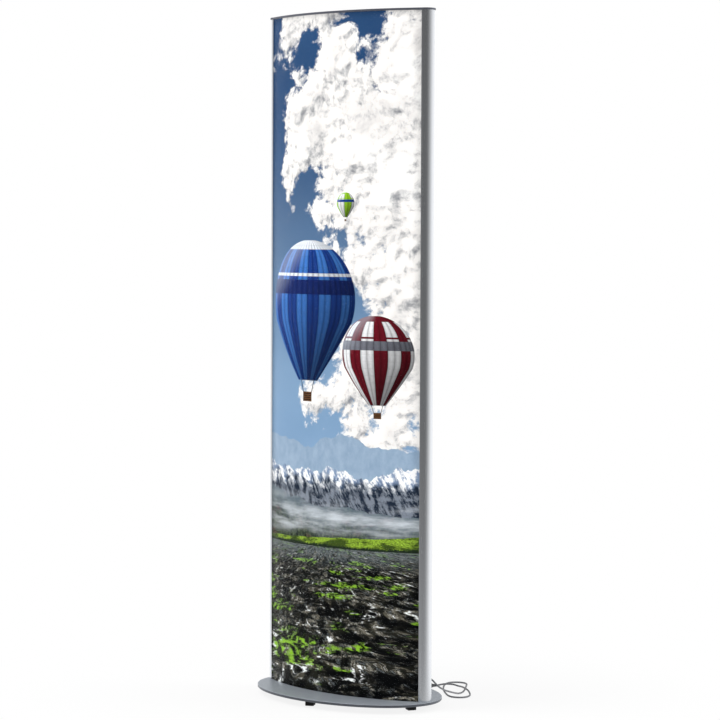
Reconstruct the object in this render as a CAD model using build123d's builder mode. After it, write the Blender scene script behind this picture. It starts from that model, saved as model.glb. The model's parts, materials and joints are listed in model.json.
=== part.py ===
from build123d import *
from math import asin, cos, degrees, radians, sin, sqrt, tan
import os

# Lit display totem: an elliptical steel plate on four levelling feet carries two aluminium
# posts, and between them a bowed, printed front lit from behind and a bowed closed back.
# Millimetres. X runs along the face, the front faces -Y, Z is up, the floor is Z = 0.

# Base plate and feet
plate_length = 600.0
plate_width = 390.0
plate_thickness = 8.0
plate_edge_ease = 1.0
ground_gap = 18.0
foot_front_inset = 42.0
foot_side_inset = 58.0
feet_turn = -4.3
pad_side = 24.0
pad_height = 11.0
pad_corner = 1.5
pad_chamfer = 1.0
pad_fit = 0.05
stud_diameter = 8.0
stud_in_pad = 6.0
stud_in_plate = 3.8
nut_width = 14.0
nut_height = 5.0
foot_hole_depth = 6.0

# Body section, the same at every height
body_height = 1910.0
face_chord = 544.5
face_rise = 65.0
face_edge_depth = 22.5
nose_length = 19.5
lip_thickness = 1.5
post_wall = 2.0
post_box_length = 27.0
fin_length = 19.0
fin_thickness = 2.0
groove_depth = 8.5
port_outer_diameter = 8.0
port_bore = 4.2
port_clearance = 2.8

# Sheets held in the grooves of the posts
cover_thickness = 1.5
film_thickness = 0.5
diffuser_thickness = 2.0
back_thickness = 4.0
sheet_gap = 0.1
groove_play = 0.15
sheet_end_play = 1.0
sheet_top_play = 1.0

# Cap
cap_thickness = 5.0
cap_overhang = 3.0
cap_edge_ease = 0.5
cap_waist_radius = 12.0
spigot_length = 14.0
spigot_play = 0.3
spigot_height = 35.0

# Formers that keep the sheets in their curve
former_sheet = 1.5
former_flange = 20.0
former_play = 0.3
former_end_gap = 0.1
former_top_drop = 22.0
window_length = 60.0
window_width = 70.0
window_spacing = 160.0

# Light carriers, strips and supply
carrier_spacing = 200.0
carrier_width = 30.0
carrier_depth = 12.0
carrier_sheet = 1.5
carrier_setback = 8.0
strip_width = 12.0
strip_thickness = 1.2
strip_end_margin = 14.0
chip_side = 5.0
chip_height = 0.8
chip_pitch = 120.0
driver_length = 150.0
driver_width = 40.0
driver_height = 30.0
driver_ease = 1.5
driver_setback = 44.0
rib_pitch = 10.0
rib_count = 12
rib_depth = 2.0
ear_length = 8.0
ear_hole = 4.0
ear_thickness = 2.0
terminal_length = 40.0
terminal_width = 18.0
terminal_height = 17.0
terminal_ease = 1.0
well_side = 4.0
well_depth = 6.0
terminal_reach = 152.0
terminal_setback = 19.0

# Screws
screw_play = 0.2
thread_play = 0.1
port_screw_length = 28.0
port_head_width = 8.0
port_head_height = 3.5
cap_screw_diameter = 5.0
cap_screw_length = 16.0
former_screw_width = 8.0
former_screw_head = 3.0
former_screw_spacing = 14.0

# Mains lead
cord_diameter = 5.0
cord_sides = 8
outlet_reach = 222.0
outlet_height = 86.5
boot_length = 24.0
boot_droop = 32.0
boot_root_diameter = 12.0
boot_tip_diameter = 7.2
boot_flange_diameter = 16.0
boot_flange_thickness = 2.0
boot_shank_diameter = 10.0
boot_shank_length = 12.0
boot_nut_thickness = 5.0
boot_steps = 3
boot_sides = 12
boot_play = 0.1
boot_nut_gap = 0.15
floor_clearance = 0.2
plug_width = 35.0
plug_thickness = 13.4
plug_body_length = 36.0
plug_tail_length = 13.0
plug_heading = -131.0
plug_tail_x = 88.0
plug_tail_y = 296.0
plug_tail_width = 11.0
plug_edge_ease = 1.8
plug_corner_cut = 1.5
pin_diameter = 4.0
pin_length = 19.0
pin_spacing = 19.0

# Derived heights and curves
plate_bottom = ground_gap
plate_top = ground_gap + plate_thickness
post_top = plate_top + body_height
half_chord = face_chord / 2
half_depth = face_edge_depth + lip_thickness
face_radius = (half_chord**2 + face_rise**2) / (2 * face_rise)
curve_centre = face_radius - face_rise - face_edge_depth
sheet_stack = cover_thickness + film_thickness + diffuser_thickness + 2 * sheet_gap
stack = max(sheet_stack, back_thickness)
groove_outer = face_radius + groove_play
groove_inner = face_radius - stack - groove_play
groove_end = half_chord + groove_depth
box_end = groove_end + post_wall
post_inner = box_end - post_box_length - post_wall
fin_start = groove_end - fin_length
sheet_angle = degrees(asin((groove_end - sheet_end_play) / face_radius))
sheet_turns = (-sheet_angle, 0, sheet_angle)
sheet_top = post_top - sheet_top_play
box_half = sqrt(groove_inner**2 - groove_end**2) - curve_centre
cavity_half = box_half - post_wall
port_x = post_inner + post_wall + 0.4 * port_outer_diameter
port_y = cavity_half - 0.4 * port_outer_diameter
spigot_x = port_x + port_outer_diameter / 2 + port_clearance + spigot_length / 2
former_reach = post_inner - former_end_gap

os.makedirs("parts", exist_ok=True)
seated = (Align.CENTER, Align.CENTER, Align.MIN)


def finish(piece, label):
    """Label a finished piece and write it as its own file."""
    piece.part.label = label
    export_step(piece.part, f"parts/{label}.step")


def on_curve(radius, angle, side):
    """Point of a curve concentric with the front (side -1) or the back (side 1)."""
    y = curve_centre - radius * cos(radians(angle))
    return (radius * sin(radians(angle)), -side * y)


def bowed_section(outer, thickness, side):
    """Section of a bowed sheet, from its outer face inwards."""
    with BuildSketch() as section:
        with BuildLine():
            outside = ThreePointArc(*[on_curve(outer, turn, side) for turn in sheet_turns])
            inside = ThreePointArc(*[on_curve(outer - thickness, turn, side) for turn in sheet_turns])
            Line(outside @ 0, inside @ 0)
            Line(outside @ 1, inside @ 1)
        make_face()
    return section.sketch


def lens_section(reach, edge_half, apex_half):
    """Lens with straight ends, bowed to the front and to the back."""
    with BuildSketch() as section:
        with BuildLine():
            ThreePointArc((-reach, -edge_half), (0, -apex_half), (reach, -edge_half))
            Line((reach, -edge_half), (reach, edge_half))
            ThreePointArc((reach, edge_half), (0, apex_half), (-reach, edge_half))
            Line((-reach, edge_half), (-reach, -edge_half))
        make_face()
    return section.sketch


def lens_half(radius, x):
    """Half depth of the lens at x, for a curve of this radius."""
    return sqrt(radius**2 - x**2) - curve_centre


foot_front_reach = plate_width / 2 - foot_front_inset
foot_side_reach = plate_length / 2 - foot_side_inset
feet_along = Vector(cos(radians(feet_turn)), sin(radians(feet_turn)), 0)
feet_across = Vector(-sin(radians(feet_turn)), cos(radians(feet_turn)), 0)
foot_spots = {
    "front": (feet_across * -foot_front_reach, 26),
    "right": (feet_along * foot_side_reach, -30),
    "back": (feet_across * foot_front_reach, 8),
    "left": (feet_along * -foot_side_reach, 35),
}
feet = {place: (spot.X, spot.Y, turn) for place, (spot, turn) in foot_spots.items()}

# Base plate: an ellipse with eased edges, drilled for the posts' screws and bored from below,
# not through, above each foot
underside = Plane(origin=(0, 0, plate_bottom), x_dir=(1, 0, 0), z_dir=(0, 0, -1))
with BuildPart() as base_plate:
    with BuildSketch(Plane.XY.offset(plate_bottom)):
        Ellipse(plate_length / 2, plate_width / 2)
    extrude(amount=plate_thickness)
    chamfer(base_plate.edges(), length=plate_edge_ease)
    with Locations(*[underside.location * Location((x, -y, 0)) for x, y, _ in feet.values()]):
        Hole(stud_diameter / 2 + screw_play, depth=foot_hole_depth)
    with Locations(
        *[underside.location * Location((s * port_x, t * port_y, 0)) for s in (-1, 1) for t in (-1, 1)]
    ):
        Hole(port_bore / 2 + screw_play, depth=plate_thickness)
finish(base_plate, "base_plate")

# Hexagon weld nuts under the plate, one above each foot
with BuildPart() as foot_nuts:
    with BuildSketch(Plane.XY.offset(plate_bottom)):
        with Locations(*[(x, y) for x, y, _ in feet.values()]):
            RegularPolygon(nut_width / 2, 6, major_radius=False)
            Circle(stud_diameter / 2, mode=Mode.SUBTRACT)
    extrude(amount=-nut_height)
finish(foot_nuts, "foot_nuts")

# Levelling feet: a square moulded pad on a threaded stud, each left at its own turn
for place, (foot_x, foot_y, turn) in feet.items():
    with BuildPart() as pad:
        with BuildSketch():
            with Locations(Location((foot_x, foot_y, 0), (0, 0, turn))):
                Rectangle(pad_side, pad_side)
        extrude(amount=pad_height)
        chamfer(pad.edges().filter_by(Axis.Z), length=pad_corner)
        chamfer(pad.faces().sort_by(Axis.Z)[0].edges(), length=pad_chamfer)
        with Locations((foot_x, foot_y, pad_height)):
            Hole(stud_diameter / 2 - pad_fit, depth=stud_in_pad)
    finish(pad, f"foot_{place}_pad")

    with BuildPart() as stud:
        with BuildSketch(Plane.XY.offset(pad_height - stud_in_pad)):
            with Locations((foot_x, foot_y)):
                Circle(stud_diameter / 2 - pad_fit)
        extrude(amount=plate_bottom + stud_in_plate - pad_height + stud_in_pad)
    finish(stud, f"foot_{place}_stud")

# Side posts: one aluminium extrusion, with a rounded hollow nose, a box with two screw ports,
# and a groove to each side between an outer lip and an inner fin
for place, hand in (("left", -1), ("right", 1)):
    with BuildPart() as post:
        with BuildSketch(Plane.XY.offset(plate_top)) as section:
            with Locations((half_chord, 0)):
                Ellipse(nose_length, half_depth)
            with Locations((half_chord, 0)):
                Rectangle(
                    nose_length, 2 * half_depth, align=(Align.MAX, Align.CENTER), mode=Mode.SUBTRACT
                )
            with Locations((post_inner, 0)):
                Rectangle(
                    box_end - post_inner, 2 * box_half, align=(Align.MIN, Align.CENTER)
                )
            for side in (-1, 1):
                with BuildSketch(mode=Mode.PRIVATE) as fin:
                    with Locations((0, side * -curve_centre)):
                        Circle(groove_inner)
                        Circle(groove_inner - fin_thickness, mode=Mode.SUBTRACT)
                    with Locations((fin_start, side * half_depth / 2)):
                        Rectangle(
                            groove_end - fin_start + post_wall,
                            half_depth,
                            align=(Align.MIN, Align.CENTER),
                            mode=Mode.INTERSECT,
                        )
                add(fin.sketch)
                with BuildSketch(mode=Mode.PRIVATE) as groove:
                    with Locations((0, side * -curve_centre)):
                        Circle(groove_outer)
                        Circle(groove_inner, mode=Mode.SUBTRACT)
                    with Locations((fin_start - 2 * post_wall, side * half_depth / 2)):
                        Rectangle(
                            groove_end - fin_start + 2 * post_wall,
                            half_depth + 2 * lip_thickness,
                            align=(Align.MIN, Align.CENTER),
                            mode=Mode.INTERSECT,
                        )
                add(groove.sketch, mode=Mode.SUBTRACT)
            with BuildSketch(mode=Mode.PRIVATE) as hollow:
                with Locations((half_chord, 0)):
                    Ellipse(nose_length - post_wall, half_depth - post_wall)
                with Locations((box_end, 0)):
                    Rectangle(
                        half_chord, 3 * half_depth, align=(Align.MIN, Align.CENTER), mode=Mode.INTERSECT
                    )
                with Locations((post_inner + post_wall, 0)):
                    Rectangle(
                        box_end - post_inner - post_wall + 0.5,
                        2 * cavity_half,
                        align=(Align.MIN, Align.CENTER),
                    )
                with Locations((port_x, port_y), (port_x, -port_y)):
                    Circle(port_outer_diameter / 2, mode=Mode.SUBTRACT)
            add(hollow.sketch, mode=Mode.SUBTRACT)
            with Locations((port_x, port_y), (port_x, -port_y)):
                Circle(port_bore / 2, mode=Mode.SUBTRACT)
            if hand < 0:
                mirror(about=Plane.YZ, mode=Mode.REPLACE)
        extrude(amount=body_height)
    finish(post, f"{place}_post")

# Hexagon screws from under the plate, two into each post's ports
port_spots = [(s * port_x, t * port_y) for s in (-1, 1) for t in (-1, 1)]
with BuildPart() as base_screws:
    with BuildSketch(Plane.XY.offset(plate_bottom)):
        with Locations(*port_spots):
            RegularPolygon(port_head_width / 2, 6, major_radius=False)
    extrude(amount=-port_head_height)
    with BuildSketch(Plane.XY.offset(plate_bottom)):
        with Locations(*port_spots):
            Circle((port_bore - thread_play) / 2)
    extrude(amount=port_screw_length)
finish(base_screws, "base_screws")

# Front sheets, from the outside in: clear cover, printed film, opal diffuser. They stand on
# the plate and their edges sit in the posts' grooves
sheet_height = sheet_top - plate_top
film_radius = face_radius - cover_thickness - sheet_gap
diffuser_radius = film_radius - film_thickness - sheet_gap
with BuildPart() as front_cover:
    with BuildSketch(Plane.XY.offset(plate_top)):
        add(bowed_section(face_radius, cover_thickness, -1))
    extrude(amount=sheet_height)
finish(front_cover, "front_cover")

with BuildPart() as printed_film:
    with BuildSketch(Plane.XY.offset(plate_top)):
        add(bowed_section(film_radius, film_thickness, -1))
    extrude(amount=sheet_height)
finish(printed_film, "printed_film")

with BuildPart() as diffuser:
    with BuildSketch(Plane.XY.offset(plate_top)):
        add(bowed_section(diffuser_radius, diffuser_thickness, -1))
    extrude(amount=sheet_height)
finish(diffuser, "diffuser")

# Where the lead leaves the back, and the way it faces there
outlet_y = lens_half(face_radius, outlet_reach)
outlet_normal = Vector(outlet_reach / face_radius, sqrt(1 - (outlet_reach / face_radius) ** 2), 0)
outlet_point = Vector(outlet_reach, outlet_y, outlet_height)
outlet = Plane(origin=outlet_point, x_dir=(0, 0, 1), z_dir=outlet_normal)

# Back panel, bored for the strain relief of the mains lead
with BuildPart() as back_panel:
    with BuildSketch(Plane.XY.offset(plate_top)):
        add(bowed_section(face_radius, back_thickness, 1))
    extrude(amount=sheet_height)
    with BuildSketch(outlet.offset(boot_flange_thickness)):
        Circle(boot_shank_diameter / 2)
    extrude(amount=-2 * (back_thickness + boot_flange_thickness), mode=Mode.SUBTRACT)
finish(back_panel, "back_panel")

# Formers: lens-shaped pans inside the sheets, with a flange all round, that hold the curve
# and tie the posts; the middle and top ones have windows, and the middle one lets the light
# carriers through
former_radius = groove_inner - former_play
former_end = lens_half(former_radius, former_reach)
former_apex = former_radius - curve_centre
top_former_z = post_top - former_top_drop
former_heights = {
    "bottom": (plate_top, 1),
    "middle": ((plate_top + top_former_z) / 2, 1),
    "top": (top_former_z, -1),
}
carrier_y = carrier_setback + carrier_depth / 2
for place, (former_z, way) in former_heights.items():
    with BuildPart() as former:
        with BuildSketch(Plane.XY.offset(former_z)):
            add(lens_section(former_reach, former_end, former_apex))
        extrude(amount=way * former_flange)
        open_face = former.faces().sort_by(Axis.Z)[-1 if way > 0 else 0]
        offset(amount=-former_sheet, openings=open_face)
        if place != "bottom":
            with BuildSketch(Plane.XY.offset(former_z)):
                with Locations(*[(s * window_spacing, 0) for s in (-1, 0, 1)]):
                    Rectangle(window_length, window_width)
            extrude(amount=way * former_sheet, mode=Mode.SUBTRACT)
        if place == "middle":
            with BuildSketch(Plane.XY.offset(former_z)):
                with Locations(*[(s * carrier_spacing / 2, carrier_y) for s in (-1, 1)]):
                    Rectangle(carrier_width + 2, carrier_depth + 8)
            extrude(amount=way * former_sheet, mode=Mode.SUBTRACT)
    finish(former, f"{place}_former")

# Heads of the small hexagon screws that hold the formers' end flanges to the posts
with BuildPart() as former_screws:
    for former_z, way in former_heights.values():
        for s in (-1, 1):
            head = Plane(
                origin=(s * (former_reach - former_sheet), 0, former_z + way * former_flange / 2),
                x_dir=(0, 1, 0),
                z_dir=(s, 0, 0),
            )
            with BuildSketch(head):
                with Locations((-former_screw_spacing / 2, 0), (former_screw_spacing / 2, 0)):
                    RegularPolygon(former_screw_width / 2, 6, major_radius=False)
            extrude(amount=-former_screw_head)
finish(former_screws, "former_screws")

# Light carriers: upright channels, open to the back, from the bottom former to the top one
carrier_foot = plate_top + former_sheet
carrier_top = top_former_z - former_sheet
for place, s in (("left", -1), ("right", 1)):
    carrier_x = s * carrier_spacing / 2
    with BuildPart() as carrier:
        with BuildSketch(Plane.XY.offset(carrier_foot)):
            with Locations((carrier_x, carrier_setback)):
                Rectangle(carrier_width, carrier_depth, align=(Align.CENTER, Align.MIN))
            with Locations((carrier_x, carrier_setback + carrier_sheet)):
                Rectangle(
                    carrier_width - 2 * carrier_sheet,
                    carrier_depth,
                    align=(Align.CENTER, Align.MIN),
                    mode=Mode.SUBTRACT,
                )
        extrude(amount=carrier_top - carrier_foot)
    finish(carrier, f"light_carrier_{place}")

    # Light strip on the front of the carrier: a narrow board with a row of square chips
    strip_length = carrier_top - carrier_foot - 2 * strip_end_margin
    chip_count = int((strip_length - chip_side) / chip_pitch) + 1
    board_front = Plane(
        origin=(carrier_x, carrier_setback, (carrier_foot + carrier_top) / 2),
        x_dir=(1, 0, 0),
        z_dir=(0, -1, 0),
    )
    with BuildPart() as strip:
        with BuildSketch(board_front):
            Rectangle(strip_width, strip_length)
        extrude(amount=strip_thickness)
        with BuildSketch(board_front.offset(strip_thickness)):
            with GridLocations(chip_pitch, chip_pitch, 1, chip_count):
                Rectangle(chip_side, chip_side)
        extrude(amount=chip_height)
    finish(strip, f"light_strip_{place}")

# Driver: a ribbed box with two mounting ears, lying on the bottom former
with BuildPart() as driver:
    with BuildSketch(Plane.XY.offset(carrier_foot)):
        with Locations((0, driver_setback)):
            Rectangle(driver_length, driver_width)
    extrude(amount=driver_height)
    chamfer(driver.faces().sort_by(Axis.Z)[-1].edges(), length=driver_ease)
    with BuildSketch(Plane.XY.offset(carrier_foot + driver_height)):
        with Locations((0, driver_setback)):
            with GridLocations(rib_pitch, 0, rib_count, 1):
                Rectangle(rib_pitch / 2, driver_width - 8)
    extrude(amount=-rib_depth, mode=Mode.SUBTRACT)
    with BuildSketch(Plane.XY.offset(carrier_foot)):
        with Locations((0, driver_setback)):
            Rectangle(driver_length + 2 * ear_length, driver_width / 2)
            for s in (-1, 1):
                with Locations((s * (driver_length / 2 + ear_length), 0)):
                    Rectangle(ear_length, ear_hole, mode=Mode.SUBTRACT)
    extrude(amount=ear_thickness)
finish(driver, "driver")

# Terminal block for the mains lead, with its row of screw wells
with BuildPart() as terminal_block:
    with BuildSketch(Plane.XY.offset(carrier_foot)):
        with Locations((terminal_reach, terminal_setback)):
            Rectangle(terminal_length, terminal_width)
    extrude(amount=terminal_height)
    chamfer(terminal_block.edges().filter_by(Axis.Z), length=terminal_ease)
    with BuildSketch(Plane.XY.offset(carrier_foot + terminal_height)):
        with Locations((terminal_reach, terminal_setback - terminal_width / 4)):
            with GridLocations(terminal_length / 3, 0, 3, 1):
                Rectangle(well_side, well_side)
    extrude(amount=-well_depth, mode=Mode.SUBTRACT)
finish(terminal_block, "terminal_block")

# Cap: a thin lens with rounded ends that stands out a little all round
spigot_spots = [(-spigot_x, 0), (spigot_x, 0)]
with BuildPart() as top_cap:
    with BuildSketch(Plane.XY.offset(post_top)) as cap_outline:
        cap_edge = half_depth + cap_overhang
        add(lens_section(half_chord, cap_edge, face_edge_depth + face_rise + cap_overhang))
        with Locations((-half_chord, 0), (half_chord, 0)):
            Ellipse(nose_length + cap_overhang, cap_edge)
        fillet(cap_outline.vertices().filter_by(lambda v: abs(v.Y) > 0.9 * cap_edge), cap_waist_radius)
    extrude(amount=cap_thickness)
    chamfer(top_cap.edges().group_by(Axis.Z)[-1], length=cap_edge_ease)
    with Locations(*[(x, y, post_top + cap_thickness) for x, y in spigot_spots]):
        CounterSinkHole(
            cap_screw_diameter / 2 + screw_play,
            cap_screw_diameter + screw_play,
            depth=cap_thickness,
            counter_sink_angle=90,
        )
finish(top_cap, "top_cap")

# Spigots under the cap that drop into the posts' boxes, with a lead-in at the lower end
with BuildPart() as cap_spigots:
    with BuildSketch(Plane.XY.offset(post_top)):
        with Locations(*spigot_spots):
            Rectangle(spigot_length, 2 * (cavity_half - spigot_play))
            Circle(cap_screw_diameter / 2, mode=Mode.SUBTRACT)
    extrude(amount=-spigot_height)
    chamfer(cap_spigots.edges().group_by(Axis.Z)[0].filter_by(GeomType.LINE), length=2)
finish(cap_spigots, "cap_spigots")

# Countersunk screws through the cap into the spigots
with BuildPart() as cap_screws:
    with Locations(*[Location((x, y, post_top + cap_thickness), (180, 0, 0)) for x, y in spigot_spots]):
        cap_shank = (cap_screw_diameter - thread_play) / 2
        Cone(2 * cap_shank, cap_shank, cap_shank, align=seated)
        Cylinder(cap_shank, cap_screw_length, align=seated)
finish(cap_screws, "cap_screws")

# Strain relief of the mains lead: a flange on the back panel, a shank through it, and a
# tapered sleeve that droops with the lead
boot_bend = boot_length / radians(boot_droop)
boot_mouth = outlet_point + outlet_normal * boot_flange_thickness


def boot_plane(share):
    """Plane square to the sleeve, this share of the way along it."""
    turn = radians(boot_droop) * share
    ahead = outlet_normal * sin(turn) * boot_bend
    down = Vector(0, 0, -boot_bend * (1 - cos(turn)))
    way = outlet_normal * cos(turn) + Vector(0, 0, -sin(turn))
    return Plane(origin=boot_mouth + ahead + down, x_dir=outlet_normal.cross(Vector(0, 0, 1)), z_dir=way)


with BuildPart() as cord_boot:
    with BuildSketch(outlet):
        RegularPolygon(boot_flange_diameter / 2, boot_sides)
    extrude(amount=boot_flange_thickness)
    with BuildSketch(outlet):
        Circle(boot_shank_diameter / 2 - boot_play)
    extrude(amount=-boot_shank_length)
    for step in range(boot_steps + 1):
        share = step / boot_steps
        with BuildSketch(boot_plane(share)):
            RegularPolygon((boot_root_diameter * (1 - share) + boot_tip_diameter * share) / 2, boot_sides)
    loft(ruled=True)
finish(cord_boot, "cord_boot")

# Nut of the strain relief, inside the back panel
with BuildPart() as boot_nut:
    with BuildSketch(outlet.offset(-back_thickness - boot_nut_gap)):
        RegularPolygon(boot_flange_diameter / 2, 6)
        Circle(boot_shank_diameter / 2, mode=Mode.SUBTRACT)
    extrude(amount=-boot_nut_thickness)
finish(boot_nut, "boot_nut")


def bend_radii(points):
    """Radius at each corner of a route: as large as its two runs allow."""
    radii = []
    for before, corner, after in zip(points, points[1:], points[2:]):
        run = min((corner - before).length, (after - corner).length)
        turn = (corner - before).get_angle(after - corner)
        radii.append(0.45 * run / tan(radians(turn) / 2))
    return radii


def report_tube(name, tube, path, points, section):
    """Print a tube's bends and how its volume compares with section times length."""
    length = path.wire().length
    share = tube.part.volume / (section.sketch.area * length)
    print(f"{name}: length {length:.1f}, least radius {min(bend_radii(points)):.1f}, volume share {share:.4f}")


def least_gap(path, diameter, apart):
    """Least gap between two places of one tube that lie this far apart along it."""
    line = path.wire()
    count = int(line.length / 2)
    spots = [line @ (i / count) for i in range(count + 1)]
    step = line.length / count
    skip = int(apart / step) + 1
    return min(
        (spots[i] - spots[j]).length for i in range(len(spots)) for j in range(i + skip, len(spots))
    ) - diameter


# Mains lead: out of the sleeve, down to the floor, in two loose loops and over itself into the
# plug. The points are the corners of its route
boot_tip = boot_plane(1)
cord_exit = boot_tip.origin
route = [cord_exit, cord_exit + boot_tip.z_dir * 18] + [
    Vector(*point)
    for point in (
        (239, 106, 48),
        (238, 137, 32.5),
        (232, 171, 22.5),
        (222, 205, 13.5),
        (211, 238, 5.6),
        (199, 272, 2.7),
        (182, 305, 2.7),
        (160, 338, 2.7),
        (140, 369, 2.7),
        (123, 393, 2.7),
        (101, 400, 2.7),
        (80, 390, 2.7),
        (71, 369, 2.7),
        (83, 337, 2.7),
        (109, 298, 2.7),
        (141, 259, 2.7),
        (174, 227, 2.7),
        (200, 204, 2.7),
        (222, 196, 2.7),
        (242, 204, 2.7),
        (252, 222, 2.7),
        (249, 243, 3.6),
        (233, 263, 6),
        (212, 282, 9.4),
        (189, 299, 9.6),
        (165, 315, 9.4),
        (143, 327, 7),
        (123, 330, 9),
        (107, 324, 9.6),
        (95, 311, 9.4),
        (plug_tail_x, plug_tail_y, plug_thickness / 2 + floor_clearance),
    )
]
join = (route[6] + route[7]) / 2
hanging = route[:7] + [join]
looped = [join] + route[7:]

with BuildPart() as cord:
    with BuildLine() as cord_path:
        FilletPolyline(*hanging, radius=bend_radii(hanging))
    with BuildSketch(Plane(origin=cord_path.wire() @ 0, z_dir=cord_path.wire() % 0)) as cord_section:
        RegularPolygon(cord_diameter / 2, cord_sides)
    sweep()
finish(cord, "cord")
report_tube("cord", cord, cord_path, hanging, cord_section)

with BuildPart() as cord_loops:
    with BuildLine() as loops_path:
        FilletPolyline(*looped, radius=bend_radii(looped))
    with BuildSketch(Plane(origin=loops_path.wire() @ 0, z_dir=loops_path.wire() % 0)) as loops_section:
        RegularPolygon(cord_diameter / 2, cord_sides)
    sweep()
finish(cord_loops, "cord_loops")
report_tube("cord_loops", cord_loops, loops_path, looped, loops_section)
print(f"cord_loops: least gap to itself {least_gap(loops_path, cord_diameter, 30):.2f}")

# Plug: a flat moulded body with a waisted grip, its tail, and two round pins
plug_end = route[-1]
tail_way = (route[-1] - route[-2]).normalized()
plug_way = Vector(cos(radians(plug_heading)), sin(radians(plug_heading)), 0)
plug_start = Vector(plug_end.X, plug_end.Y, floor_clearance) + plug_way * plug_tail_length
plug_plane = Plane(origin=plug_start, x_dir=plug_way, z_dir=(0, 0, 1))
plug_face = plug_start + plug_way * plug_body_length + Vector(0, 0, plug_thickness / 2)
with BuildPart() as plug_body:
    with BuildSketch(plug_plane):
        with BuildLine():
            grip = Polyline(
                (0, 0),
                (0, plug_tail_width / 2),
                (0.25 * plug_body_length, plug_tail_width / 2 + 0.5),
                (0.72 * plug_body_length, plug_width / 2),
                (plug_body_length, plug_width / 2),
                (plug_body_length, 0),
            )
            mirror(grip, about=Plane.XZ)
        make_face()
    extrude(amount=plug_thickness)
    chamfer(plug_body.edges().filter_by(Axis.Z), length=plug_corner_cut)
    chamfer(plug_body.faces().sort_by(Axis.Z)[-1].edges(), length=plug_edge_ease)
    chamfer(plug_body.faces().sort_by(Axis.Z)[0].edges(), length=plug_edge_ease)
    with BuildSketch(Plane(origin=plug_end, x_dir=tail_way.cross(Vector(0, 0, 1)), z_dir=tail_way)):
        RegularPolygon(boot_tip_diameter / 2, boot_sides)
    tail_root = plug_end + plug_way * (plug_tail_length + 1)
    with BuildSketch(Plane(origin=tail_root, x_dir=plug_way.cross(Vector(0, 0, 1)), z_dir=plug_way)):
        RegularPolygon(plug_thickness / 2 - plug_edge_ease, boot_sides)
    loft(ruled=True)
finish(plug_body, "plug_body")

with BuildPart() as plug_pins:
    with BuildSketch(Plane(origin=plug_face, x_dir=(0, 0, 1), z_dir=plug_way)):
        with Locations((0, -pin_spacing / 2), (0, pin_spacing / 2)):
            Circle(pin_diameter / 2)
    extrude(amount=pin_length)
finish(plug_pins, "plug_pins")
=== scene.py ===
import json
from math import cos, pi, radians, sin

import bmesh
import bpy
from mathutils import Matrix, Vector


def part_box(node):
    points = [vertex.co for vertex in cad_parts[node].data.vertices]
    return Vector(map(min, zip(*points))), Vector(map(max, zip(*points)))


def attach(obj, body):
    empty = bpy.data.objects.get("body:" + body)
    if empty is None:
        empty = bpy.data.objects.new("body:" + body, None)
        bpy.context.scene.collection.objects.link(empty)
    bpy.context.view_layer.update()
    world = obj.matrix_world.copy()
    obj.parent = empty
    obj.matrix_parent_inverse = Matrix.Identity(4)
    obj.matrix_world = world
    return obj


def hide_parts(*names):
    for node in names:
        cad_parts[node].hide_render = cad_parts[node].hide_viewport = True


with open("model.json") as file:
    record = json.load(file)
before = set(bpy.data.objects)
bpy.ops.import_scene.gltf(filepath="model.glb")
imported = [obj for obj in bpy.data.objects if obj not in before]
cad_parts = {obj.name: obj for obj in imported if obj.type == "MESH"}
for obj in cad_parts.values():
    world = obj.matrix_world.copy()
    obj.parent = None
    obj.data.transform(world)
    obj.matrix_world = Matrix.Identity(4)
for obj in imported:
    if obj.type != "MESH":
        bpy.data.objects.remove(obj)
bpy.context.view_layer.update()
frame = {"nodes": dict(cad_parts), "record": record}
nodes = frame["nodes"]
scene = bpy.context.scene

# Camera: to the right of the front, 7.1 m away and 1.33 m up, looking a little down
turn, tilt, roll = radians(40.0067), radians(1.83), radians(0.2276)
camera_place = (4.59346, -5.47297, 1.32714)
ahead = Vector((-sin(turn) * cos(tilt), cos(turn) * cos(tilt), -sin(tilt)))
level = Vector((cos(turn), sin(turn), 0))
above = level.cross(ahead)
right = level * cos(roll) + above * sin(roll)
up = above * cos(roll) - level * sin(roll)
lens = bpy.data.cameras.new("camera")
lens.sensor_fit = "HORIZONTAL"
lens.sensor_width = 36
lens.lens = 126.33
lens.shift_x, lens.shift_y = 0.01382, -0.06686
lens.clip_end = 200
camera = bpy.data.objects.new("camera", lens)
scene.collection.objects.link(camera)
facing = Matrix((right, up, -ahead)).transposed().to_4x4()
camera.matrix_world = Matrix.Translation(camera_place) @ facing
scene.camera = camera

# Mains lead: its route in metres, from the strain relief's tip to the plug's tail
lead_radius = 0.0025
route = [
    (0.23112, 0.06815, 0.07997), (0.23675, 0.08234, 0.07043), (0.239, 0.106, 0.048),
    (0.238, 0.137, 0.0325), (0.232, 0.171, 0.0225), (0.222, 0.205, 0.0135),
    (0.211, 0.238, 0.0056), (0.199, 0.272, 0.0027), (0.182, 0.305, 0.0027),
    (0.160, 0.338, 0.0027), (0.140, 0.369, 0.0027), (0.123, 0.393, 0.0027),
    (0.101, 0.400, 0.0027), (0.080, 0.390, 0.0027), (0.071, 0.369, 0.0027),
    (0.083, 0.337, 0.0027), (0.109, 0.298, 0.0027), (0.141, 0.259, 0.0027),
    (0.174, 0.227, 0.0027), (0.200, 0.204, 0.0027), (0.222, 0.196, 0.0027),
    (0.242, 0.204, 0.0027), (0.252, 0.222, 0.0027), (0.249, 0.243, 0.0036),
    (0.233, 0.263, 0.0060), (0.212, 0.282, 0.0094), (0.189, 0.299, 0.0096),
    (0.165, 0.315, 0.0094), (0.143, 0.327, 0.0070), (0.123, 0.330, 0.0090),
    (0.107, 0.324, 0.0096), (0.095, 0.311, 0.0094), (0.088, 0.296, 0.0069),
]
curve = bpy.data.curves.new("mains_lead", "CURVE")
curve.dimensions = "3D"
curve.resolution_u = 12
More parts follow.
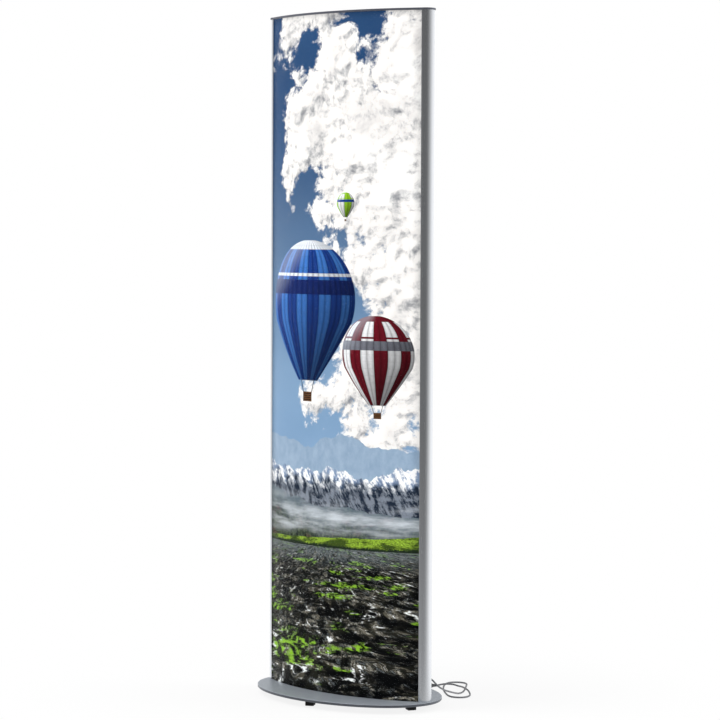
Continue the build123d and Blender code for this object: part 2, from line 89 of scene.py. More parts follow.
# The points' radii carry the thickness, so that the curve's box isn't padded by a whole metre
curve.bevel_depth = 1.0
curve.bevel_resolution = 5
line = curve.splines.new("NURBS")
line.points.add(len(route) - 1)
for point, place in zip(line.points, route):
    point.co = (*place, 1)
    point.radius = lead_radius
line.order_u = 3
line.use_endpoint_u = True
lead = bpy.data.objects.new("mains_lead", curve)
scene.collection.objects.link(lead)
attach(lead, "stand")
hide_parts("cord", "cord_loops")


# Small pieces lofted through rings
def loft(name, rings, slot, body, *replaced):
    """A closed skin through rings of equally many points, riding on a body and standing for nodes."""
    mesh = bmesh.new()
    rows = [[mesh.verts.new(point) for point in ring] for ring in rings]
    for low, high in zip(rows, rows[1:]):
        for i in range(len(low)):
            j = (i + 1) % len(low)
            mesh.faces.new((low[i], low[j], high[j], high[i]))
    mesh.faces.new(rows[0][::-1])
    mesh.faces.new(rows[-1])
    bmesh.ops.recalc_face_normals(mesh, faces=mesh.faces)
    data = bpy.data.meshes.new(name)
    mesh.to_mesh(data)
    mesh.free()
    data.shade_smooth()
    data.set_sharp_from_angle(angle=radians(38))
    piece = bpy.data.objects.new(name, data)
    scene.collection.objects.link(piece)
    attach(piece, body)
    if replaced:
        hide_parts(*replaced)
    new_pieces.append((piece, slot))
    return piece


def circle(centre, across, aside, radius, count=32, flat=0.0):
    """Ring about a centre in the plane of two directions; flat squares it towards a hexagon."""
    points = []
    for i in range(count):
        a = 2 * pi * i / count
        facet = cos(radians(30)) / cos((a + radians(30)) % radians(60) - radians(30))
        r = radius * (1 - flat + flat * facet)
        points.append(centre + across * cos(a) * r + aside * sin(a) * r)
    return points


new_pieces = []
x_way, y_way, z_way = Vector((1, 0, 0)), Vector((0, 1, 0)), Vector((0, 0, 1))

# Strain relief: a round flange and a ribbed, tapered sleeve that droops with the lead
outlet_normal = Vector((222 / 602.65, 0.92976, 0))
outlet = Vector((0.222, 0.04512, 0.0865))
sleeve_length, sleeve_droop, sleeve_start = 0.024, radians(32), 0.002
root_radius, tip_radius, bore_radius = 0.0060, 0.0036, 0.0029
sleeve_steps, rib_recess = 40, 0.0008
sleeve_bend = sleeve_length / sleeve_droop
side_way = outlet_normal.cross(z_way)
rings = [
    circle(outlet + outlet_normal * depth, side_way, z_way, radius)
    for depth, radius in (
        (-0.0115, 0.0049), (0.0, 0.0049), (0.0001, 0.0080), (0.0010, 0.0080), (0.0016, 0.0077),
        (0.0019, 0.0071), (0.0020, 0.0062),
    )
]
for step in range(1, sleeve_steps + 1):
    share = step / sleeve_steps
    turned = sleeve_droop * share
    out_by = sleeve_start + sin(turned) * sleeve_bend
    centre = outlet + outlet_normal * out_by - z_way * sleeve_bend * (1 - cos(turned))
    lean = outlet_normal * sin(turned) + z_way * cos(turned)
    radius = root_radius + (tip_radius - root_radius) * share
    if 4 < step < sleeve_steps - 4 and step % 4 in (2, 3):
        radius -= rib_recess
    rings.append(circle(centre, side_way, lean, radius))
rings.append(circle(centre, side_way, lean, bore_radius))
loft("lead_sleeve", rings, "grey_plastic", "stand", "cord_boot")

# Plug: a moulded two-pin body with a waisted grip and a ribbed tail
plug_turn = radians(-131.0)
tail_length, tail_reach = 0.013, 0.0128
tail_start_radius, tail_growth, tail_recess, tail_steps = 0.0036, 0.0013, 0.0006, 24
grip_power = 3.4
plug_way = Vector((cos(plug_turn), sin(plug_turn), 0))
plug_side = Vector((-plug_way.y, plug_way.x, 0))
plug_end = Vector((0.088, 0.296, 0.0069))
tail_way = (plug_end - Vector((0.095, 0.311, 0.0094))).normalized()


def grip(distance, half_width, half_height, power):
    """Rounded-oblong ring across the plug, this far from its tail's root."""
    centre = plug_end + plug_way * (tail_length + distance)
    ring = []
    for i in range(48):
        a = 2 * pi * i / 48
        u, v = cos(a), sin(a)
        ring.append(
            centre
            + plug_side * half_width * (abs(u) ** (2 / power)) * (1 if u > 0 else -1)
            + z_way * half_height * (abs(v) ** (2 / power)) * (1 if v > 0 else -1)
        )
    return ring


plug_rings = []
for step in range(tail_steps + 1):
    share = step / tail_steps
    way = tail_way.lerp(plug_way, min(1, share * 1.4)).normalized()
    aside = way.cross(z_way).normalized() * -1
    centre = plug_end.lerp(plug_end + plug_way * tail_reach, share)
    ribbed = step % 4 in (2, 3) and 2 < step < 22
    radius = tail_start_radius + tail_growth * share - (tail_recess if ribbed else 0)
    plug_rings.append(circle(centre, aside, aside.cross(way) * -1, radius, 48))
for millimetres in (0, 0.4, 1, 3, 6, 9, 12, 15, 18, 21, 24, 27, 30, 33, 34.6, 35.5, 36):
    swell = min(1, max(0, (millimetres - 7) / 19))
    half = 5.4 + 12.1 * swell * swell * (3 - 2 * swell)
    height = 5.2 + 1.5 * min(1, millimetres / 8)
    trim = {0: 1.6, 0.4: 0.6, 34.6: 0.15, 35.5: 0.7, 36: 1.7}.get(millimetres, 0)
    plug_rings.append(grip(millimetres / 1000, (half - trim) / 1000, (height - trim) / 1000, grip_power))
plug_piece = loft("moulded_plug", plug_rings, "grey_plastic", "stand", "plug_body")

# Threads of the levelling feet
crest, root, pitch = 0.00394, 0.00335, 0.00125
for place in ("front", "right", "back", "left"):
    low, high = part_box(f"foot_{place}_stud")
    middle = Vector(((low[0] + high[0]) / 2, (low[1] + high[1]) / 2, 0))
    rings, height, out = [], low[2], True
    while height < high[2] - 0.0006:
        rings.append(circle(middle + z_way * height, x_way, y_way, crest if out else root, 28))
        height, out = height + pitch / 2, not out
    rings.append(circle(middle + z_way * high[2], x_way, y_way, root - 0.0003, 28))
    loft(f"thread_{place}", rings, "zinc_steel", f"foot_{place}", f"foot_{place}_stud")

# Countersunk cap screws with hexagon sockets
head_radius = 0.0049
profile = (
    (-0.0159, 0.0019, 0), (-0.0155, 0.00243, 0), (-0.00245, 0.00245, 0),
    (-0.0002, 0.0047, 0), (0, 0.00465, 0), (0, 0.0018, 1),
    (-0.0002, 0.0017, 1), (-0.0021, 0.0017, 1), (-0.0024, 0.0008, 0),
)
low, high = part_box("cap_screws")
for name, x in (("cap_screw_left", low[0] + head_radius), ("cap_screw_right", high[0] - head_radius)):
    top = Vector((x, (low[1] + high[1]) / 2, high[2]))
    rings = [
        circle(top + z_way * depth, x_way, y_way, radius, 36, flat) for depth, radius, flat in profile
    ]
    loft(name, rings, "zinc_steel", "cap", "cap_screws")


# Node graphs, written as sums and products
class Value:
    """An output of a node graph that adds, multiplies and so on into new nodes."""

    def __init__(self, graph, socket):
        self.graph, self.socket = graph, socket

    def __add__(self, other):
        return self.graph.math("ADD", self, other)

    def __sub__(self, other):
        return self.graph.math("SUBTRACT", self, other)

    def __mul__(self, other):
        return self.graph.math("MULTIPLY", self, other)

    def __truediv__(self, other):
        return self.graph.math("DIVIDE", self, other)

    def __rsub__(self, other):
        return self.graph.math("SUBTRACT", other, self)

    __radd__, __rmul__ = __add__, __mul__


class Graph:
    """The node graph of one material."""

    def __init__(self, name):
        self.material = bpy.data.materials.new(name)
        self.material.use_nodes = True
        self.tree = self.material.node_tree
        self.tree.nodes.clear()
        self.out = self.tree.nodes.new("ShaderNodeOutputMaterial")
        self.coords = self.tree.nodes.new("ShaderNodeTexCoord")
        parts = self.node("ShaderNodeSeparateXYZ", Vector=self.coords.outputs["Object"])
        self.x, self.y, self.z = (Value(self, s) for s in parts.outputs)

    def node(self, kind, **inputs):
        """A new node with these inputs, given as values, sockets or constants."""
        made = self.tree.nodes.new(kind)
        for name, value in inputs.items():
            self.put(made.inputs[name.replace("_", " ")], value)
        return made

    def put(self, socket, value):
        if isinstance(value, Value):
            value = value.socket
        if isinstance(value, bpy.types.NodeSocket):
            self.tree.links.new(value, socket)
        elif socket.type == "RGBA" and len(value) == 3:
            socket.default_value = (*value, 1)
        else:
            socket.default_value = value

    def math(self, operation, *terms):
        made = self.tree.nodes.new("ShaderNodeMath")
        made.operation = operation
        for socket, term in zip(made.inputs, terms):
            self.put(socket, term)
        return Value(self, made.outputs[0])

    def vector(self, x, y, z):
        return self.node("ShaderNodeCombineXYZ", X=x, Y=y, Z=z).outputs[0]

    def step(self, value, low, high, start=0.0, end=1.0):
        """From start at low to end at high, smoothly."""
        made = self.tree.nodes.new("ShaderNodeMapRange")
        made.interpolation_type = "SMOOTHSTEP"
        for socket, term in zip(made.inputs, (value, low, high, start, end)):
            self.put(socket, term)
        return Value(self, made.outputs[0])

    def noise(self, vector, scale, detail=4.0, roughness=0.5, distortion=0.0):
        made = self.node(
            "ShaderNodeTexNoise", Vector=vector, Scale=scale, Detail=detail, Roughness=roughness,
            Distortion=distortion,
        )
        return Value(self, made.outputs["Fac"])

    def blend(self, share, first, second, kind="MIX"):
        made = self.tree.nodes.new("ShaderNodeMix")
        made.data_type = "RGBA"
        made.blend_type = kind
        for socket, term in zip((made.inputs[0], made.inputs[6], made.inputs[7]), (share, first, second)):
            self.put(socket, term)
        return made.outputs[2]

    def bump(self, height, strength, distance):
        return self.node("ShaderNodeBump", Strength=strength, Distance=distance, Height=height).outputs[0]

    def principled(self, **inputs):
        shader = self.node("ShaderNodeBsdfPrincipled", **inputs)
        self.tree.links.new(shader.outputs[0], self.out.inputs["Surface"])
        return self.material


def srgb(r, g, b):
    """A colour written as it shows on a screen, as linear light."""
    return tuple((c / 255 / 12.92) if c <= 10 else ((c / 255 + 0.055) / 1.055) ** 2.4 for c in (r, g, b))


def plain(
    name, colour, roughness, metallic=0.0, grain=900.0, tone=0.12, depth=0.00004, stretch=(1, 1, 1),
    spread=0.08,
):
    """A finish whose colour, gloss and surface vary with one grain, stretched along an axis."""
    g = Graph(name)
    place = g.vector(g.x * stretch[0], g.y * stretch[1], g.z * stretch[2])
    fine = g.noise(place, grain, 5.0, 0.6)
    broad = g.noise(place, grain / 40, 3.0, 0.5)
    light = tuple(min(1.0, c * (1 + tone)) for c in colour)
    dark = tuple(c * (1 - tone) for c in colour)
    return g.principled(
        Base_Color=g.blend(fine * 0.6 + broad * 0.4, dark, light),
        Metallic=metallic,
        Roughness=roughness - spread / 2 + (fine * 0.5 + broad * 0.5) * spread,
        Normal=g.bump(fine, 0.25, depth),
    )


def plate_silver():
    """Silver enamel on the plate's top, with a patchy lighter band on its eased edge painted as a highlight,
    over a rim and underside painted darker as shade.
    """
    enamel_low, enamel_high = 0.02485, 0.02505
    ease_low, ease_high = 0.02555, 0.02575
    g = Graph("plate_silver")
    place = g.coords.outputs["Object"]
    fleck = g.noise(place, 2600.0, 3.0, 0.7)
    cloud = g.noise(place, 26.0, 4.0, 0.55)
    top = g.blend(fleck * 0.6 + cloud * 0.4, srgb(180, 189, 200), srgb(210, 217, 226))
    # The rim and underside take a darker grey than the top: painted shade, varied by a vertical grain.
    rim_grain = g.noise(g.vector(g.x, g.y, g.z * 0.1), 500.0, 6.0, 0.65)
    rim_shade = g.blend(rim_grain, srgb(94, 98, 106), srgb(128, 132, 140))
    on_top = g.step(g.z, enamel_low, enamel_high)
    # A patchy band of lighter silver along the top's eased edge: a painted highlight.
    edge_highlight = on_top * g.step(g.z, ease_low, ease_high, 1.0, 0.0) * g.step(cloud, 0.45, 0.62)
    colour = g.blend(edge_highlight * 0.3, g.blend(on_top, rim_shade, top), srgb(196, 202, 208))
    return g.principled(
        Base_Color=colour,
        Metallic=0.75 - on_top * 0.32,
        Roughness=0.36 + (fleck - 0.5) * 0.1,
        Normal=g.bump(fleck * 0.6 + rim_grain * 0.4, 0.2, 0.00003),
    )


def opal_sheet():
    """Opal diffuser, lit evenly from behind."""
    g = Graph("opal_sheet")
    milky = g.noise(g.coords.outputs["Object"], 40.0, 4.0, 0.6)
    colour = g.blend(milky, srgb(232, 234, 234), srgb(248, 249, 250))
    return g.principled(
        Base_Color=colour, Roughness=0.4 + milky * 0.1, Emission_Color=colour, Emission_Strength=0.7,
        Normal=g.bump(milky, 0.1, 0.00005),
    )


finishes = {
    "satin_aluminium": plain(
        "satin_aluminium", srgb(232, 235, 239), 0.27, 1.0, 1400, 0.05, 0.00002, (1, 1, 0.012), 0.08
    ),
    "mill_aluminium": plain(
        "mill_aluminium", srgb(205, 207, 209), 0.42, 1.0, 700, 0.1, 0.00003, (1, 1, 0.05)
    ),
    "plate_silver": plate_silver(),
    "cap_grey": plain("cap_grey", srgb(100, 103, 114), 0.4, 0.35, 1500, 0.12, 0.00004),
    "black_rubber": plain("black_rubber", srgb(16, 17, 17), 0.62, 0.0, 1200, 0.3, 0.0001),
    "zinc_steel": plain("zinc_steel", srgb(188, 190, 186), 0.3, 1.0, 1100, 0.12, 0.00003),
    "back_composite": plain("back_composite", srgb(178, 182, 187), 0.36, 0.55, 1800, 0.06, 0.00002),
    "opal_sheet": opal_sheet(),
    "light_board": plain("light_board", srgb(232, 231, 224), 0.5, 0.0, 700, 0.06, 0.00004),
    "white_plastic": plain("white_plastic", srgb(214, 214, 209), 0.45, 0.0, 900, 0.05, 0.00005),
    "grey_plastic": plain("grey_plastic", srgb(96, 97, 100), 0.45, 0.0, 1000, 0.1, 0.00006),
    "grey_cord": plain("grey_cord", srgb(130, 131, 135), 0.42, 0.0, 1200, 0.1, 0.00005),
    "pin_brass": plain("pin_brass", srgb(206, 203, 194), 0.25, 1.0, 1200, 0.06, 0.00002),
}


def clear_sheet():
    """Clear cover with a faintly uneven face. Its index is set far below a plastic's, to limit its sheen."""
    g = Graph("clear_cover")
    haze = g.noise(g.coords.outputs["Object"], 60.0, 4.0, 0.6)
    return g.principled(
        Base_Color=(0.985, 0.99, 0.99), Roughness=0.05 + haze * 0.04, IOR=1.05, Transmission_Weight=1.0,
        Normal=g.bump(haze, 0.05, 0.00005),
    )


finishes["clear_cover"] = clear_sheet()


def balloon(g, under, x0, z0, radius, gores, shades, seam, lean=0.0):
    """A hot-air balloon over what is under it: gores, seams across them, a skirt and a basket."""
    skirt_top = -0.36
    across = (g.x - x0 + (g.z - z0) * lean) / radius
    along = (g.z - z0) / radius
    round_half = g.math("SQRT", g.math("MAXIMUM", 1 - along * along, 0.0001))
    below = g.math("MAXIMUM", skirt_top - along, 0.0)
    skirt_half = 0.93 + (along - skirt_top) * 0.62 - g.math("POWER", below, 2.0) * 0.12
    lower = g.step(along, -0.42, -0.30)
    half = skirt_half + (round_half - skirt_half) * lower
    ratio = across / g.math("MAXIMUM", half, 0.02)
    inside = g.step(g.math("ABSOLUTE", ratio), 0.985, 1.0, 1.0, 0.0) * g.step(along, -1.32, -1.30) \
        * g.step(along, 0.985, 1.0, 1.0, 0.0)
    bounded = g.math("MINIMUM", g.math("MAXIMUM", ratio, -0.999), 0.999)
    longitude = g.math("ARCSINE", bounded) / 3.14159 * gores + 0.31
    cell = g.math("FRACT", longitude)
    stripe = g.math("FRACT", longitude * 0.25)
    colour = g.blend(g.step(stripe, 0.49, 0.51), shades[0], shades[1])
    band = g.step(along, 0.10, 0.11) * g.step(along, 0.34, 0.35, 1.0, 0.0)
    colour = g.blend(band, colour, shades[2])
    line = g.step(along, 0.40, 0.405) * g.step(along, 0.45, 0.455, 1.0, 0.0)
    colour = g.blend(line, colour, shades[3])
    crown = g.step(along, 0.84, 0.85)
    colour = g.blend(crown, colour, shades[3])
    seams = g.step(g.math("ABSOLUTE", cell - 0.5), 0.45, 0.495)
    panels = g.step(g.math("ABSOLUTE", g.math("FRACT", along * 5.5) - 0.5), 0.47, 0.495)
    colour = g.blend(g.math("MAXIMUM", seams, panels * 0.4) * 0.6, colour, seam)
    puff = 0.7 + 0.3 * g.step(g.math("ABSOLUTE", cell - 0.5), 0.5, 0.05)
    crease = g.noise(g.vector(longitude * 0.6, x0, along * 2.0), 5.0, 8.0, 0.6)
    light = g.step(bounded * -0.55 + along * 0.55, -0.95, 0.9, 0.22, 1.22) * puff * (0.72 + crease * 0.56)
    shaded = g.blend(1.0, colour, g.vector(light, light, light), "MULTIPLY")
    glint = g.step(bounded * -0.7 + along * 0.6, 0.45, 0.95) * (0.25 + 0.5 * crease)
    shaded = g.blend(glint * 0.5, shaded, srgb(226, 236, 248))
    basket = g.step(g.math("ABSOLUTE", across), 0.10, 0.11, 1.0, 0.0) * g.step(along, -1.66, -1.65) \
        * g.step(along, -1.50, -1.49, 1.0, 0.0)
    weave = g.math("FRACT", along * 30)
    wicker = g.blend(g.step(weave, 0.3, 0.7), srgb(40, 26, 18), srgb(104, 70, 44))
    off_rope = g.math("ABSOLUTE", g.math("ABSOLUTE", across) - 0.10 - (along + 1.5) * 0.28)
    ropes = g.step(off_rope, 0.004, 0.010, 1.0, 0.0) \
        * g.step(along, -1.52, -1.50) * g.step(along, -1.32, -1.30, 1.0, 0.0)
    done = g.blend(inside, under, shaded)
    done = g.blend(basket, done, wicker)
    return g.blend(ropes, done, srgb(30, 28, 30))


def ridge(g, base, rise, scale, seed, detail=5.0):
    """Height of a skyline across the print."""
    return base + (g.noise(g.vector(g.x, seed, 0.0), scale, detail, 0.55) - 0.5) * rise


def print_sky(g):
    """Sky, deep at the top and pale over the mountains, with heaped clouds lit from the upper left."""
    x, z = g.x, g.z
    flat = g.vector(x, 0.0, z)
    sky = g.blend(g.step(z, 0.62, 1.75), srgb(150, 182, 212), srgb(26, 54, 94))
    sky = g.blend(g.noise(flat, 3.0, 3.0) * 0.6, sky, srgb(62, 104, 152))

    bend = g.noise(flat, 7.0, 5.0, 0.55)
    px, pz = x + (bend - 0.5) * 0.09, z + (bend - 0.5) * 0.06
    body = g.noise(g.vector(px, 0.7, pz), 7.5, 14.0, 0.64)
    lit = g.noise(g.vector(px - 0.010, 0.7, pz + 0.014), 7.5, 14.0, 0.64)
    cover = g.noise(g.vector(x * 0.8 + 3.9, 0.0, z * 0.7), 3.1, 2.0)
    heap = body + (cover - 0.5) * 0.70 + g.step(z, 0.85, 1.60) * 0.085
    heap = heap + (x - 0.02) * 0.34 - g.step(x, -0.27, -0.17, 0.16, 0.0)
    relief = (body - lit) * 5.0 + 0.74
    fluff = g.noise(g.vector(px, 4.0, pz), 60.0, 6.0, 0.7)
    raised = g.step(relief + (fluff - 0.5) * 0.25, 0.0, 0.95)
    cloud = g.blend(raised, srgb(128, 130, 136), srgb(252, 249, 246))
    grey = g.noise(g.vector(x + 8.0, 2.0, z * 0.8), 5.5, 4.0, 0.6)
    under_side = g.step(heap, 0.60, 0.80) * g.step(grey, 0.46, 0.60)
    cloud = g.blend(under_side * 0.6, cloud, srgb(172, 168, 168))
    bright = g.step(heap + (fluff - 0.5) * 0.12, 0.60, 0.76) * g.step(grey, 0.40, 0.50, 1.0, 0.0)
    cloud = g.blend(bright * 0.85, cloud, srgb(255, 254, 252))
    thick = g.step(heap + (fluff - 0.5) * 0.09, 0.485, 0.555)
    return g.blend(thick, sky, cloud)


def print_ranges(g, picture):
    """Far and middle ranges, with snow on the middle one."""
    x, z = g.x, g.z
    far = ridge(g, 0.735, 0.13, 6.0, 1.3, 7.0)
    rock = g.noise(g.vector(x * 1.6, 2.0, z), 26.0, 10.0, 0.65)
    tint = g.blend(rock, srgb(110, 138, 170), srgb(176, 196, 214))
    picture = g.blend(g.step(far - z, 0.0, 0.002), picture, tint)

    middle = ridge(g, 0.655, 0.24, 5.2, 7.9, 10.0)
    across, up_slope = x * 1.5 + z * 0.6, z * 0.9
    crag = g.noise(g.vector(across, 5.0, up_slope), 22.0, 14.0, 0.7, 0.3)
    shade = g.noise(g.vector(across - 0.012, 5.0, up_slope + 0.008), 22.0, 14.0, 0.7, 0.3)
    slant = g.step((crag - shade) * 7.0 + 0.5, 0.0, 1.0)
    stone = g.blend(slant, srgb(30, 40, 56), srgb(122, 130, 142))
    snow = g.blend(slant, srgb(130, 150, 180), srgb(252, 252, 252))
    stone = g.blend(g.step(crag * 0.55 + (z - 0.62) * 3.0, 0.22, 0.34), stone, snow)
    return g.blend(g.step(middle - z, 0.0, 0.0015), picture, stone)


def print_shore(g, picture):
    """Wooded foothills, drifting mist, a lime-lit meadow and dark firs along the water."""
    x, z = g.x, g.z
    slope = ridge(g, 0.560, 0.11, 5.0, 13.1, 8.0) - x * 0.14
    wood = g.noise(g.vector(x * 1.2, 9.0, z * 0.8), 90.0, 8.0, 0.75)
    woods = g.blend(g.step(wood, 0.38, 0.66), srgb(16, 26, 24), srgb(84, 96, 74))
    rust = g.step(g.noise(g.vector(x, 4.0, z * 1.6), 14.0, 10.0, 0.75), 0.50, 0.66)
    russet = g.blend(g.step(wood, 0.40, 0.62), srgb(38, 14, 18), srgb(118, 62, 60))
    woods = g.blend(rust * 0.7, woods, russet)
    woods = g.blend(g.step(slope - z, 0.0, 0.10, 0.55, 0.0), woods, srgb(118, 134, 150))
    picture = g.blend(g.step(slope - z, 0.0, 0.002), picture, woods)

    drift = g.noise(g.vector(x * 0.5, 14.0, z * 2.6), 7.0, 8.0, 0.6)
    mist = g.step(z, 0.455, 0.50) * g.step(z, 0.52, 0.60, 1.0, 0.0) * g.step(drift, 0.42, 0.66)
    picture = g.blend(mist * 0.85, picture, srgb(214, 220, 226))

    meadow = ridge(g, 0.466, 0.03, 5.0, 21.4, 6.0) + x * 0.05
    grass = g.noise(g.vector(x * 1.2, 6.0, z * 3.2), 150.0, 8.0, 0.75)
    lime = g.blend(g.step(grass, 0.34, 0.66), srgb(34, 58, 16), srgb(178, 216, 72))
    tussock = g.step(g.noise(g.vector(x, 8.0, z * 3.0), 16.0, 8.0, 0.65), 0.44, 0.56)
    lime = g.blend(tussock * 0.85, lime, srgb(30, 44, 22))
    picture = g.blend(g.step(meadow - z, 0.0, 0.0015), picture, lime)

    spikes = g.noise(g.vector(x, 11.0, 0.0), 210.0, 3.0, 0.9)
    firs = ridge(g, 0.430, 0.03, 9.0, 31.0, 3.0) + spikes * 0.030
    needles = g.blend(grass, srgb(6, 12, 10), srgb(44, 58, 40))
    return g.blend(g.step(firs - z, 0.0, 0.001), picture, needles)


def print_lake(g, picture):
    """Lake, with ripples that widen towards the viewer and broken reflections."""
    x, z = g.x, g.z
    reach = 0.438 - z
    near = g.math("MAXIMUM", reach, 0.0) + 0.035
    run = g.math("LOGARITHM", near, 2.718)
    wide = x / near
    swell = g.noise(g.vector(wide * 0.4, 8.0, run * 2.0), 2.2, 5.0, 0.6, 1.2)
    ripple = g.noise(g.vector(wide * 1.7 + swell * 0.5, 3.0, run * 4.0 + swell), 2.3, 10.0, 0.62, 1.8)
    chop = g.noise(g.vector(wide * 2.6, 5.0, run * 6.0 + swell * 2.0), 2.7, 9.0, 0.66, 1.2)
    ridged = g.math("ABSOLUTE", ripple - 0.5)
    veins = g.math("ABSOLUTE", chop - 0.5)
    deep = g.blend(g.step(swell, 0.38, 0.62), srgb(3, 5, 6), srgb(30, 30, 25))
    water = g.blend(g.step(ripple, 0.51, 0.66) * 0.9, deep, srgb(98, 94, 82))
    thread = g.step(veins, 0.0, 0.016, 0.9, 0.0) * g.step(ripple, 0.48, 0.60)
    water = g.blend(thread, water, srgb(206, 202, 188))
    fold = g.step(ridged, 0.0, 0.012, 0.8, 0.0) * g.step(chop, 0.45, 0.54)
    water = g.blend(fold, water, srgb(140, 148, 152))
    water = g.blend(g.step(ripple - (chop - 0.5) * 0.8, 0.37, 0.49, 0.95, 0.0), water, srgb(2, 3, 5))
    water = g.blend(g.step(swell, 0.40, 0.52, 0.9, 0.0) * g.step(reach, 0.0, 0.06), water, srgb(2, 3, 4))
    shallow = g.step(z + x * 0.8, -0.08, 0.20, 0.075, 0.0)
    sparkle = g.step(ripple + (chop - 0.5) * 0.8 + shallow, 0.65, 0.71)
    water = g.blend(sparkle, water, srgb(236, 240, 240))
    patches = g.noise(g.vector(wide * 0.5, 12.0, run * 2.4), 2.4, 6.0, 0.6)
    lime_glint = g.step(patches + shallow, 0.56, 0.62) * g.step(chop, 0.46, 0.52) * g.step(ripple, 0.42, 0.54)
    water = g.blend(lime_glint, water, srgb(134, 184, 46))
    mirror = g.step(near, 0.035, 0.10, 0.6, 0.0) * g.step(chop, 0.40, 0.56)
    water = g.blend(mirror, water, srgb(126, 136, 140))
    return g.blend(g.step(reach, 0.0, 0.0015), picture, water)


def print_picture():
    """The print: balloons over a mountain lake, in blues, whites, greys, maroon and lime."""
    g = Graph("printed_film")
    x, z = g.x, g.z
    flat = g.vector(x, 0.0, z)
    picture = print_lake(g, print_shore(g, print_ranges(g, print_sky(g))))

    # Balloons
    maroon = (srgb(104, 18, 32), srgb(232, 232, 234), srgb(112, 114, 124), srgb(104, 18, 32))
    limes = (srgb(150, 204, 44), srgb(236, 238, 236), srgb(30, 70, 150), srgb(150, 204, 44))
    blues = (srgb(26, 62, 140), srgb(62, 118, 196), srgb(20, 40, 104), srgb(232, 236, 242))
    picture = balloon(g, picture, 0.052, 1.405, 0.030, 7.0, limes, srgb(70, 96, 20))
    picture = balloon(g, picture, 0.150, 0.985, 0.108, 16.0, maroon, srgb(56, 20, 28), 0.03)
    picture = balloon(g, picture, -0.085, 1.130, 0.172, 22.0, blues, srgb(10, 24, 72), -0.02)

    # The light box is even in the middle and falls off beside the posts, the cap and the plate
    side = g.step(g.math("ABSOLUTE", x), 0.245, 0.2755, 1.0, 0.68)
    ends = g.step(z, 0.026, 0.06, 0.72, 1.0) * g.step(z, 1.912, 1.936, 1.0, 0.72)
    glow = side * ends
    lit_picture = g.blend(1.0, picture, g.vector(glow, glow, glow), "MULTIPLY")
    return g.principled(
        Base_Color=g.blend(1.0, picture, (0.22, 0.22, 0.22), "MULTIPLY"), Roughness=0.5,
        Specular_IOR_Level=0.06,
        Emission_Color=lit_picture, Emission_Strength=0.98,
        Normal=g.bump(g.noise(flat, 40.0, 3.0), 0.05, 0.0005),
    )


finishes["printed_film"] = print_picture()

# Every carried-over piece takes its slot's finish
slots = {part["node"]: part["material_slot"] for part in frame["record"]["subparts"]}
for name, piece in nodes.items():
    piece.data.materials.clear()
    piece.data.materials.append(finishes[slots[name]])
curve.materials.append(finishes["grey_cord"])
for piece, slot in new_pieces:
    piece.data.materials.append(finishes[slot])


# Floor, lamps and surroundings. In reflections the room is dark on one side and light on the other, which
# was fitted to the shading across the right post in the photograph
room_way = (-0.4226, 0.9063, 0.0)
dark_side, light_side = -0.85, 0.82
floor_dark, wall_dark, room_light = 0.14, 0.17, 1.15


def floor_finish():
    g = Graph("floor")
    away = g.math("SQRT", g.x * g.x + g.y * g.y)
    path = g.node("ShaderNodeLightPath")
    seen = g.math("MAXIMUM", Value(g, path.outputs["Is Camera Ray"]), Value(g, path.outputs["Is Glossy Ray"]))
    seen = g.math("MAXIMUM", seen, Value(g, path.outputs["Is Transmission Ray"]))
    matt = g.node("ShaderNodeBsdfDiffuse", Color=(0.93, 0.93, 0.93))
    toward = (g.y * room_way[1] + g.x * room_way[0]) / g.math("MAXIMUM", away, 0.2)
    room = g.step(toward, dark_side, light_side, floor_dark, room_light)
    room = g.math("MINIMUM", room + g.step(away, 0.2, 7.0, 0.2, 0.0), 1.1)
    mirrored = Value(g, path.outputs["Is Glossy Ray"])
    white = g.node("ShaderNodeEmission", Color=(1, 1, 1), Strength=1 - mirrored + mirrored * room)
    mixed = g.node("ShaderNodeMixShader")
    g.put(mixed.inputs[0], seen * g.step(away, 0.35, 1.2, 0.86, 1.0))
    g.put(mixed.inputs[1], matt.outputs[0])
    g.put(mixed.inputs[2], white.outputs[0])
    g.put(g.out.inputs["Surface"], mixed.outputs[0])
    return g.material


bpy.ops.mesh.primitive_plane_add(size=80, location=(0, 0, 0))
floor = bpy.context.object
floor.name = "floor"
floor.data.materials.append(floor_finish())

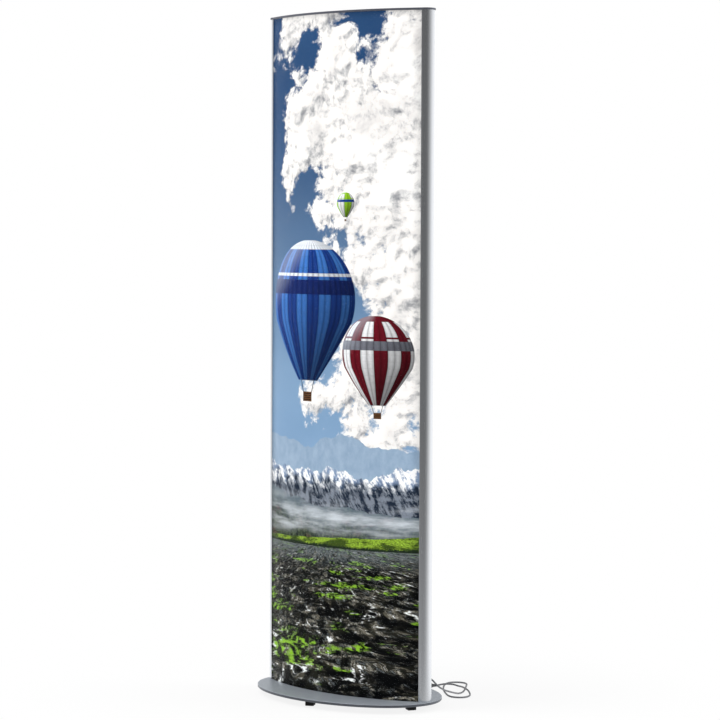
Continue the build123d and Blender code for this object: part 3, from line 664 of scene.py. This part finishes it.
world = bpy.data.worlds.new("studio")
scene.world = world
world.use_nodes = True
tree = world.node_tree
tree.nodes.clear()
sky_out = tree.nodes.new("ShaderNodeOutputWorld")
way = tree.nodes.new("ShaderNodeTexCoord")
toward = tree.nodes.new("ShaderNodeVectorMath")
toward.operation = "DOT_PRODUCT"
toward.inputs[1].default_value = room_way
tree.links.new(way.outputs["Generated"], toward.inputs[0])
dim = tree.nodes.new("ShaderNodeMapRange")
dim.interpolation_type = "SMOOTHSTEP"
for socket, value in zip(list(dim.inputs)[1:5], (dark_side, light_side, wall_dark, room_light)):
    socket.default_value = value
tree.links.new(toward.outputs["Value"], dim.inputs[0])
parted = tree.nodes.new("ShaderNodeSeparateXYZ")
tree.links.new(way.outputs["Generated"], parted.inputs[0])
ceiling = tree.nodes.new("ShaderNodeMapRange")
ceiling.interpolation_type = "SMOOTHSTEP"
for socket, value in zip(list(ceiling.inputs)[1:5], (0.08, 0.22, 1.0, 0.30)):
    socket.default_value = value
tree.links.new(parted.outputs["Z"], ceiling.inputs[0])
room = tree.nodes.new("ShaderNodeMath")
room.operation = "MULTIPLY"
tree.links.new(dim.outputs[0], room.inputs[0])
tree.links.new(ceiling.outputs[0], room.inputs[1])
rays = tree.nodes.new("ShaderNodeLightPath")


def world_mix(share, first, second):
    made = tree.nodes.new("ShaderNodeMixShader")
    tree.links.new(share, made.inputs[0])
    tree.links.new(first.outputs[0], made.inputs[1])
    tree.links.new(second.outputs[0], made.inputs[2])
    return made


def background(strength):
    made = tree.nodes.new("ShaderNodeBackground")
    made.inputs["Color"].default_value = (1, 1, 1, 1)
    if isinstance(strength, float):
        made.inputs["Strength"].default_value = strength
    else:
        tree.links.new(strength, made.inputs["Strength"])
    return made


shown = world_mix(rays.outputs["Is Glossy Ray"], background(0.62), background(room.outputs[0]))
shown = world_mix(rays.outputs["Is Transmission Ray"], shown, background(1.0))
shown = world_mix(rays.outputs["Is Camera Ray"], shown, background(1.0))
tree.links.new(shown.outputs[0], sky_out.inputs["Surface"])


def lamp(name, place, target, size, power):
    light = bpy.data.lights.new(name, "AREA")
    light.shape = "RECTANGLE"
    light.size, light.size_y = size
    light.energy = power
    made = bpy.data.objects.new(name, light)
    scene.collection.objects.link(made)
    made.location = place
    made.rotation_euler = (Vector(target) - Vector(place)).to_track_quat("-Z", "Y").to_euler()
    made.visible_glossy = False
    return made


lamp("key", (-1.6, -2.2, 4.8), (0, 0, 0.7), (2.6, 2.6), 120)
lamp("fill", (3.8, 2.6, 2.8), (0, 0, 0.9), (2.0, 3.0), 80)

scene.view_settings.view_transform = "Standard"
bpy.context.view_layer.update()
